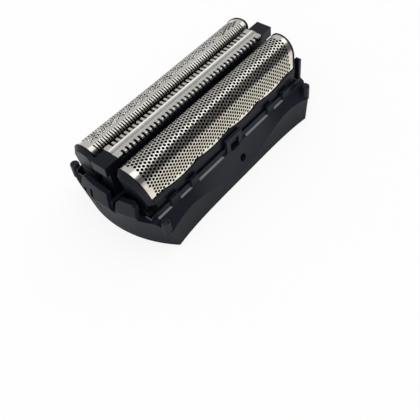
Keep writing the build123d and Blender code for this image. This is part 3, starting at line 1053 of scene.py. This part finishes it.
@dataclass
class Studio:
    """White floor, soft lights and the camera. Sizes are in metres and angles in degrees."""

    room_level: float = 0.55
    key_place: Point = (0.305, -0.14, 0.615)
    key_size: Pair = (0.6, 0.38)
    key_level: float = 0.74
    fill_place: Point = (-0.6, -0.3, 0.5)
    fill_size: Pair = (0.5, 0.5)
    fill_level: float = 1.0
    flag_place: Point = (0.27, -0.452, 0.333)
    flag_size: Pair = (1.1, 0.42)
    flag_tones: tuple[Colour, Colour] = ((0.15, 0.15, 0.152), (0.17, 0.17, 0.17))
    flag_roughness: float = 0.9
    weave_mm: float = 5.0
    floor_size: float = 4.0
    floor_drop: float = 0.00005
    floor_tones: tuple[Colour, Colour] = ((0.9, 0.9, 0.9), (0.86, 0.86, 0.86))
    floor_white: float = 1.16
    floor_white_share: float = 0.72
    paper_mm: float = 40.0
    painted_shadow_tone: Colour = (0.04, 0.04, 0.04)
    under_edge: Pair = (-0.0008, -0.0004)
    mirrored_share: float = 0.8
    foot_half_x: float = 0.0242
    foot_half_y: float = 0.01235
    end_radius: float = 0.02395
    contact_reach: float = 0.012
    sensor_mm: float = 36.0
    clip: Pair = (0.001, 20.0)
    focal_pixels: float = 600.0
    image_pixels: float = 420.0
    azimuth: float = -44.12
    elevation: float = 51.3
    roll: float = -8.08
    distance: float = 0.11883
    shift_right: float = -0.00328
    shift_up: float = 0.01748
    target_z: float = 0.008

    def panel(self, name: str, size: Pair, material: bpy.types.Material) -> bpy.types.Object:
        """Puts a flat rectangle in the scene.

        Args:
            name: The panel's name.
            size: Its width and its height.
            material: Its finish.

        Returns:
            The new object.
        """
        x, y = size[0] / 2, size[1] / 2
        mesh = bpy.data.meshes.new(name)
        mesh.from_pydata([(-x, -y, 0), (x, -y, 0), (x, y, 0), (-x, y, 0)], [], [(0, 1, 2, 3)])
        mesh.materials.append(material)
        made = bpy.data.objects.new(name, mesh)
        bpy.context.scene.collection.objects.link(made)
        return made

    def floor(self) -> None:
        """Lays a white floor that shows white to the camera, keeps a faint shadow, and has a dark shadow
        painted under the head.
        """
        graph = Graph(bpy.data.materials.new("white_floor"))
        camera, glossy, through = (graph.node("ShaderNodeLightPath", {}, {}, name) for name in
                                   ("Is Camera Ray", "Is Glossy Ray", "Is Transmission Ray"))
        x, y = (graph.reach(axis) for axis in "XY")
        past_end = x + y * y * (0.5 / self.end_radius) - self.foot_half_x
        past = graph.math("MAXIMUM", past_end, y - self.foot_half_y)
        outside = past.ramp(*self.under_edge)
        clear = past.ramp(0.0, self.contact_reach)
        mirrored = (glossy + through) * clear * self.mirrored_share
        seen = graph.math("MINIMUM", camera * outside + mirrored, 1.0)
        paper = graph.noise(graph.place(), self.paper_mm)
        # Paints a dark shadow on the floor under the head's footprint.
        tone = graph.mix(outside, self.painted_shadow_tone, graph.mix(paper, *self.floor_tones))
        matt = graph.node("ShaderNodeBsdfDiffuse", {}, {"Color": tone})
        white = graph.node("ShaderNodeEmission", {}, {"Color": WHITE, "Strength": self.floor_white})
        both = graph.node("ShaderNodeMixShader", {}, {0: seen * self.floor_white_share, 1: matt, 2: white})
        graph.node("ShaderNodeOutputMaterial", {}, {"Surface": both})
        floor = self.panel("floor", (self.floor_size, self.floor_size), graph.owner)
        floor.location.z = -self.floor_drop

    def world(self) -> None:
        """Fills the room with even light, and shows it white to the camera."""
        graph = Graph(bpy.data.worlds.new("white_room"))
        camera = graph.node("ShaderNodeLightPath", {}, {}, "Is Camera Ray")
        light, white = (graph.node("ShaderNodeBackground", {}, {"Color": WHITE, "Strength": level})
                        for level in (self.room_level, 1.0))
        both = graph.node("ShaderNodeMixShader", {}, {0: camera, 1: light, 2: white})
        graph.node("ShaderNodeOutputWorld", {}, {"Surface": both})
        bpy.context.scene.world = graph.owner

    def facing(self, place: Point) -> Matrix:
        """Turns something at a place towards the head, with its width along the foils.

        Args:
            place: Where it stands.

        Returns:
            Its place and turn.
        """
        back = (Vector(place) - Vector((0.0, 0.0, self.target_z))).normalized()
        up = back.cross(Vector((1.0, 0.0, 0.0))).normalized()
        return Matrix.Translation(place) @ Matrix((up.cross(back), up, back)).transposed().to_4x4()

    def lamp(self, name: str, place: Point, size: Pair, level: float) -> None:
        """Hangs a soft lamp that faces the head.

        Args:
            name: The lamp's name.
            place: Where it hangs.
            size: The width and the height of its face.
            level: How bright its face is; 1 is white.
        """
        data = bpy.data.lights.new(name, "AREA")
        data.shape = "RECTANGLE"
        data.size, data.size_y = size
        data.energy = level * math.pi * size[0] * size[1]
        lamp = bpy.data.objects.new(name, data)
        lamp.matrix_world = self.facing(place)
        bpy.context.scene.collection.objects.link(lamp)

    def camera(self) -> None:
        """Sets the camera where the picture was taken from."""
        turn, rise, tilt = (math.radians(angle) for angle in (self.azimuth, self.elevation, self.roll))
        back = Vector((math.sin(turn) * math.cos(rise), -math.cos(turn) * math.cos(rise), math.sin(rise)))
        level = Vector((math.cos(turn), math.sin(turn), 0.0))
        above = back.cross(level)
        right = math.cos(tilt) * level + math.sin(tilt) * above
        up = math.cos(tilt) * above - math.sin(tilt) * level
        data = bpy.data.cameras.new("camera")
        data.sensor_width = self.sensor_mm
        data.lens = data.sensor_width * self.focal_pixels / self.image_pixels
        data.clip_start, data.clip_end = self.clip
        camera = bpy.data.objects.new("camera", data)
        target = Vector((0.0, 0.0, self.target_z)) - right * self.shift_right - up * self.shift_up
        spot = target + back * self.distance
        camera.matrix_world = Matrix.Translation(spot) @ Matrix((right, up, back)).transposed().to_4x4()
        bpy.context.scene.collection.objects.link(camera)
        bpy.context.scene.camera = camera

    def flag(self, name: str, place: Point, size: Pair) -> None:
        """Stands a dark card that the foils reflect and the camera doesn't see.

        Args:
            name: The card's name.
            place: Where its middle stands.
            size: Its width and its height.
        """
        graph = Graph(bpy.data.materials.new(name + "_card"))
        weave = graph.noise(graph.place(), self.weave_mm)
        tone = graph.mix(weave, *self.flag_tones)
        card = self.panel(name, size, graph.surface({"Base Color": tone, "Roughness": self.flag_roughness}))
        card.matrix_world = self.facing(place)
        card.visible_camera = False
        card.visible_shadow = False

    def build(self) -> None:
        """Sets up the whole studio."""
        bpy.context.scene.view_settings.view_transform = "Standard"
        self.floor()
        self.world()
        self.lamp("key", self.key_place, self.key_size, self.key_level)
        self.lamp("fill", self.fill_place, self.fill_size, self.fill_level)
        self.flag("front_flag", self.flag_place, self.flag_size)
        self.camera()


def main() -> None:
    """Builds the pieces in order and lights them."""
    logging.basicConfig(level=logging.INFO)
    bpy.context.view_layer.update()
    finishes = Finishes()
    head = (
        HeadFrame(finishes), FoilCassette(Side.LEFT, Perforation.SLITS_AND_HOLES, finishes),
        FoilCassette(Side.RIGHT, Perforation.HOLES, finishes), TrimmerComb(finishes))
    for assembly in head:
        assembly.build()
        assembly.dress()
    Studio().build()


if __name__ == "__main__":
    main()
